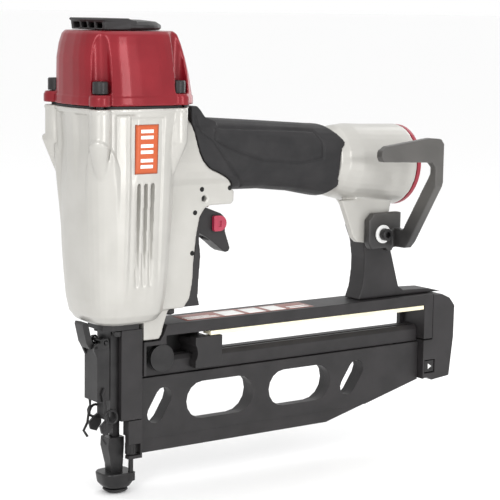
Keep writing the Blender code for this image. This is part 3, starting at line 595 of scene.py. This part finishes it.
def distance_to_path(x, z, path):
    """How far each point is, seen from the side, from a run of straight lines."""
    nearest = np.full(len(x), np.inf)
    for (from_x, from_z), (to_x, to_z) in zip(path, path[1:]):
        run_x, run_z = to_x - from_x, to_z - from_z
        along = ((x - from_x) * run_x + (z - from_z) * run_z) / (run_x**2 + run_z**2)
        along = np.clip(along, 0.0, 1.0)
        gap = np.hypot(x - from_x - along * run_x, z - from_z - along * run_z)
        nearest = np.minimum(nearest, gap)
    return nearest


def relieve_grip(obj):
    """Moulded lines round the grip's side panels and behind its collar."""
    places, normals = points_of(obj)
    x, y, z = places.T
    sideways = normals[:, 1]
    skin = fade(np.abs(sideways), *GRIP_FACING) * fade(sideways * np.sign(y), *GRIP_OUTWARD_FACING)
    nearest = np.minimum(distance_to_path(x, z, GRIP_PANEL), distance_to_path(x, z, GRIP_SEAM))
    groove = np.exp(-((nearest / GROOVE_WIDTH) ** 2))
    push_out(obj, places, normals, -GROOVE_DEPTH * groove * skin)


# ---------------------------------------------------------------- shaped pieces

# Voxel size in mm, and rounds of smoothing.
SOFT = {
    "main_body": (0.6, 8),
    "cylinder_cap": (0.7, 4),
    "grip_sleeve": (0.6, 6),
    "belt_hook": (0.6, 4),
    "exhaust_deflector": (0.45, 2),
    "trigger": (0.45, 3),
    "rear_post": (0.6, 3),
    "arm_cover": (0.5, 3),
}
RELIEF = {
    "main_body": relieve_body,
    "cylinder_cap": relieve_cap,
    "grip_sleeve": relieve_grip,
    "arm_cover": relieve_cover,
}
looks = {}
for name, (voxel, rounds) in SOFT.items():
    looks[name] = soften(name, voxel, rounds)
    if name in RELIEF:
        RELIEF[name](looks[name])
    stand_for(looks[name], name)

# Width of the rounded edges in mm.
ROUNDED = {
    "magazine_beam": 0.7,
    "magazine_plate": 0.8,
    "magazine_end_cap": 0.7,
    "magazine_latch": 0.4,
    "nail_rail": 0.25,
    "driver_guide": 0.5,
    "nose_plate": 0.5,
    "nose_door": 0.5,
    "latch_lever": 0.4,
    "contact_foot": 0.4,
    "foot_pad": 0.3,
    "wheel_cage": 0.5,
    "depth_wheel": 0.25,
    "adjust_rod": 0.2,
    "cover_screw": 0.3,
    "cap_bolt_1": 0.35,
    "cap_bolt_2": 0.35,
    "cap_bolt_3": 0.35,
    "cap_bolt_4": 0.35,
    "deflector_screw": 0.3,
    "door_pin": 0.25,
    "latch_pin": 0.25,
    "guide_bolt_near": 0.3,
    "guide_bolt_far": 0.3,
    "pusher": 0.4,
    "pusher_drum": 0.3,
    "hook_bolt": 0.35,
    "hook_washer": 0.2,
    "inlet_bush": 0.3,
    "end_ring": 0.4,
    "mode_selector": 0.3,
    "trigger_pin": 0.2,
    "trigger_valve_housing": 0.2,
}
for name, width in ROUNDED.items():
    round_edges(NODES[name], width)

# ---------------------------------------------------------------- labels and small fittings

LABEL_ORANGE = surface(
    "label_orange", dark=(0.44, 0.075, 0.014), light=(0.49, 0.085, 0.018), rough=(0.30, 0.40),
    grain=0.03, grain_depth=0.00003,
)
LABEL_WHITE = surface(
    "label_white", dark=(0.80, 0.80, 0.78), light=(0.86, 0.86, 0.84), rough=(0.30, 0.40), grain=0.03,
    grain_depth=0.00003,
)
LABEL_BROWN = surface(
    "label_brown", dark=(0.22, 0.055, 0.035), light=(0.27, 0.07, 0.045), rough=(0.30, 0.42), grain=0.03,
    grain_depth=0.00003,
)
PIN_DARK = surface(
    "pin_dark", dark=(0.006, 0.006, 0.006), light=(0.010, 0.010, 0.010), rough=(0.50, 0.60), grain=0.05,
    grain_depth=0.00003, specular=0.2,
)


# Where the rays for labels start, in mm, and which way they go.
OUTSIDE = 70.0
ABOVE = 130.0
TO_FAR_SIDE = (0.0, 1.0, 0.0)
DOWN = (0.0, 0.0, -1.0)
FILM_SUNK = 0.1


def surface_tree(obj):
    """A ray target for the piece as it is drawn."""
    return BVHTree.FromObject(obj, bpy.context.evaluated_depsgraph_get())


def ride_as(obj, material, body):
    """Puts a new piece in the scene, dressed in its material and on its body."""
    bpy.context.scene.collection.objects.link(obj)
    dress(obj, material)
    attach(obj, body)


def laid_on(name, tree, corner, side_a, side_b, inward, material, slot, lift=0.1, steps=16):
    """A thin rectangular film, in mm, that follows the surface its rays meet going inward."""
    corner, side_a, side_b = Vector(corner), Vector(side_a), Vector(side_b)
    inward = Vector(inward)
    bm = bmesh.new()
    rows = []
    for i in range(steps + 1):
        row = []
        for j in range(steps + 1):
            start = (corner + side_a * (i / steps) + side_b * (j / steps)) * MM
            hit = tree.ray_cast(start, inward)[0]
            row.append(bm.verts.new(hit - inward * lift * MM))
        rows.append(row)
    for i in range(steps):
        for j in range(steps):
            bm.faces.new((rows[i][j], rows[i + 1][j], rows[i + 1][j + 1], rows[i][j + 1]))
    for face in bm.faces:
        face.smooth = True
    bm.normal_update()
    if bm.faces[:][0].normal.dot(inward) > 0:
        bmesh.ops.reverse_faces(bm, faces=bm.faces[:])
    mesh = bpy.data.meshes.new(name)
    bm.to_mesh(mesh)
    bm.free()
    obj = bpy.data.objects.new(name, mesh)
    film = obj.modifiers.new("film", "SOLIDIFY")
    film.thickness = (lift + FILM_SUNK) * MM
    film.offset = -1.0
    ride_as(obj, material, "frame")


def lathe(name, profile, place, direction, material, body, sides=24):
    """A small turned head: profile is (radius, height) in mm from the rim to the centre."""
    bm = bmesh.new()
    rings = []
    for radius, height in profile[:-1]:
        ring = []
        for step in range(sides):
            angle = 2 * math.pi * step / sides
            ring.append(bm.verts.new((radius * math.cos(angle), radius * math.sin(angle), height)))
        rings.append(ring)
    tip = bm.verts.new((0.0, 0.0, profile[-1][1]))
    for low, high in zip(rings, rings[1:]):
        for step in range(sides):
            after = (step + 1) % sides
            bm.faces.new((low[step], low[after], high[after], high[step]))
    for step in range(sides):
        bm.faces.new((rings[-1][step], rings[-1][(step + 1) % sides], tip))
    bm.faces.new(list(reversed(rings[0])))
    for face in bm.faces:
        face.smooth = True
    turn = Vector(direction).to_track_quat("Z", "Y").to_matrix().to_4x4()
    bm.transform(Matrix.Translation(Vector(place) * MM) @ turn @ Matrix.Scale(MM, 4))
    mesh = bpy.data.meshes.new(name)
    bm.to_mesh(mesh)
    bm.free()
    obj = bpy.data.objects.new(name, mesh)
    ride_as(obj, material, body)


def on_side(name, corner, size, material, **more):
    """A film on the near side of the main body; corner and size are (x, z) in mm."""
    laid_on(
        name, body_tree, (corner[0], -OUTSIDE, corner[1]), (size[0], 0, 0), (0, 0, size[1]),
        TO_FAR_SIDE, material, "body_silver", **more,
    )


def on_rail(name, corner, size, material, **more):
    """A film on top of the magazine beam; corner and size are (x, y) in mm."""
    laid_on(
        name, beam_tree, (*corner, ABOVE), (size[0], 0, 0), (0, size[1], 0),
        DOWN, material, "black_cast", **more,
    )


body_tree = surface_tree(looks["main_body"])
beam_tree = surface_tree(NODES["magazine_beam"])

# The side label's corner and size, and its bars' feet, as (x, z) or z in mm.
LABEL_CORNER = (-5.0, 199.0)
LABEL_SIZE = (15.0, 28.4)
LABEL_MARGIN = 0.4
BAR_X = -1.8
BAR_LENGTH = 8.6
BAR_HEIGHT = 2.0
BAR_FEET = (202.0, 205.6, 210.6, 214.2, 219.2, 222.8)
border_corner = [start - LABEL_MARGIN for start in LABEL_CORNER]
border_size = [side + 2 * LABEL_MARGIN for side in LABEL_SIZE]
on_side("side_label_border", border_corner, border_size, LABEL_BROWN, lift=0.06)
on_side("side_label", LABEL_CORNER, LABEL_SIZE, LABEL_ORANGE, lift=0.12)
for index, bar_foot in enumerate(BAR_FEET):
    bar_name = f"side_label_bar_{index}"
    on_side(bar_name, (BAR_X, bar_foot), (BAR_LENGTH, BAR_HEIGHT), LABEL_WHITE, lift=0.2, steps=8)

# Pins as (x, z), and their heads as (radius, height), in mm.
PIN_PLACES = ((53.4, 185.4), (74.2, 185.3), (48.5, 171.2), (46.7, 146.2))
PIN_PROFILE = ((1.55, -0.4), (1.55, 0.1), (1.4, 0.2), (0.9, 0.22), (0.0, 0.16))
for index, (pin_x, pin_z) in enumerate(PIN_PLACES):
    for label, side in (("near", -1), ("far", 1)):
        start = Vector((pin_x, side * OUTSIDE, pin_z)) * MM
        hit = body_tree.ray_cast(start, Vector((0.0, -side, 0.0)))[0]
        lathe(
            f"web_pin_{index}_{label}", PIN_PROFILE, tuple(hit / MM), (0.0, side, 0.0),
            PIN_DARK, "frame",
        )

# A three-sided mark in the middle of the latch button's near face.
MARK_PROFILE = ((2.2, -0.2), (2.2, 0.1), (0.0, 0.12))
latch_low, latch_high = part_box("magazine_latch")
mark_x, _, mark_z = [(low + high) / 2 / MM for low, high in zip(latch_low, latch_high)]
lathe(
    "latch_mark", MARK_PROFILE, (mark_x, latch_low[1] / MM, mark_z), (0.0, -1.0, 0.0),
    LABEL_WHITE, "magazine_latch", sides=3,
)

# The rail label's corner and size as (x, y), and its blocks as x, length, y and width, in mm.
RAIL_LABEL_CORNER = (46.0, -9.5)
RAIL_LABEL_SIZE = (100.0, 17.5)
RAIL_BLOCKS = (
    (48.0, 24.0, -7.5, 1.4),
    (48.0, 24.0, -4.6, 1.4),
    (48.0, 20.0, -1.7, 1.4),
    (76.0, 15.0, -8.0, 14.0),
    (95.0, 13.0, -8.0, 14.0),
    (112.0, 12.0, -8.0, 14.0),
    (128.0, 15.0, -7.5, 2.0),
    (128.0, 15.0, -3.5, 2.0),
)
on_rail("rail_label", RAIL_LABEL_CORNER, RAIL_LABEL_SIZE, LABEL_BROWN)
for index, (block_x, length, block_y, width) in enumerate(RAIL_BLOCKS):
    block_name = f"rail_label_block_{index}"
    on_rail(block_name, (block_x, block_y), (length, width), LABEL_WHITE, lift=0.18, steps=4)
